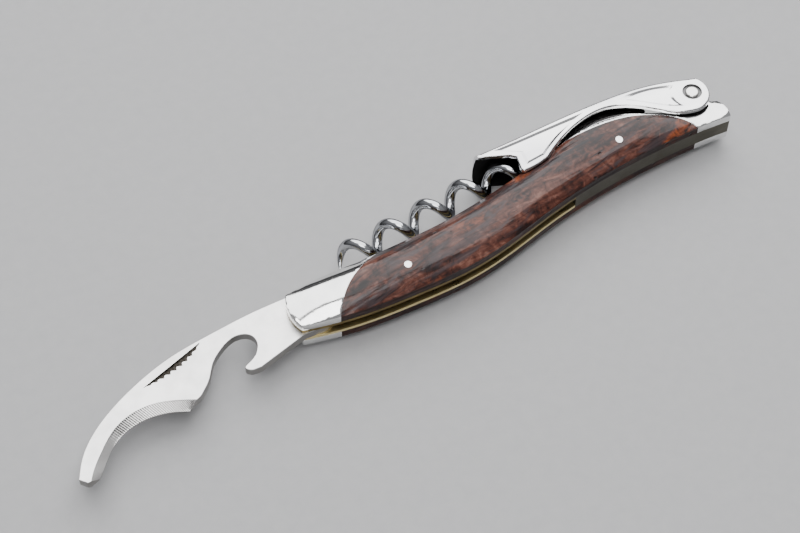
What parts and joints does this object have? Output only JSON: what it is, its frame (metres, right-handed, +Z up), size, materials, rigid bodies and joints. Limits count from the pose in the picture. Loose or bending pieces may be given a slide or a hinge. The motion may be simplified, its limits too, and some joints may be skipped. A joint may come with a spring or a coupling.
{
  "type": "waiter's knife corkscrew",
  "caption": "Folding waiter's knife corkscrew with a curved foil blade and bottle opener, a swinging worm, a bottle lever and a wood-scaled handle.",
  "frame": {"origin": "on the flat land at the crown of the lower scale, on the surface the folded tool lies on, under the middle of the handle", "axes": "+X along the handle towards the lever's pivot end, +Y towards the back where the worm and the lever fold down, +Z up through the handle's thickness"},
  "size_m": [0.1734, 0.0403, 0.013],
  "materials": {
    "burl_wood": "gloss lacquered burl, reddish brown",
    "polished_steel": "mirror polished stainless steel",
    "liner_brass": "ground brass edge",
    "spring_steel": "ground spring steel",
    "pin_steel": "polished nickel silver",
    "blade_steel": "satin ground stainless steel",
    "worm_steel": "polished hardened steel wire"
  },
  "bodies": {
    "handle": {"upper_scale": "burl_wood", "lower_scale": "burl_wood", "upper_front_bolster": "polished_steel", "lower_front_bolster": "polished_steel", "upper_rear_bolster": "polished_steel", "lower_rear_bolster": "polished_steel", "upper_liner": "liner_brass", "lower_liner": "liner_brass", "upper_tail_plate": "spring_steel", "lower_tail_plate": "spring_steel", "back_spring": "spring_steel", "front_scale_pin": "pin_steel", "rear_scale_pin": "pin_steel", "blade_pivot_pin": "pin_steel", "worm_pivot_pin": "pin_steel", "lever_pivot_pin": "pin_steel", "front_bolster_rivets": "pin_steel", "rear_bolster_rivets": "pin_steel"},
    "blade": {"blade": "blade_steel"},
    "worm": {"worm": "worm_steel", "worm_hub": "worm_steel"},
    "lever": {"lever": "polished_steel"}
  },
  "joints": [
    {"name": "blade_fold", "type": "hinge", "parent": "handle", "child": "blade", "pos_m": [-0.0495, -0.00335, 0.0065], "axis": [0, 0, 1], "range_deg": [0, 166]},
    {"name": "worm_swing", "type": "hinge", "parent": "handle", "child": "worm", "pos_m": [0.0155, 0.01105, 0.0065], "axis": [0, 0, -1], "range_deg": [0, 96]},
    {"name": "lever_swing", "type": "hinge", "parent": "handle", "child": "lever", "pos_m": [0.056, 0.0112, 0.0065], "axis": [0, 0, -1], "range_deg": [0, 144]}
  ],
  "couplings": [
    {"joint": "lever_swing", "follows": "worm_swing", "ratio": 1.5}
  ]
}
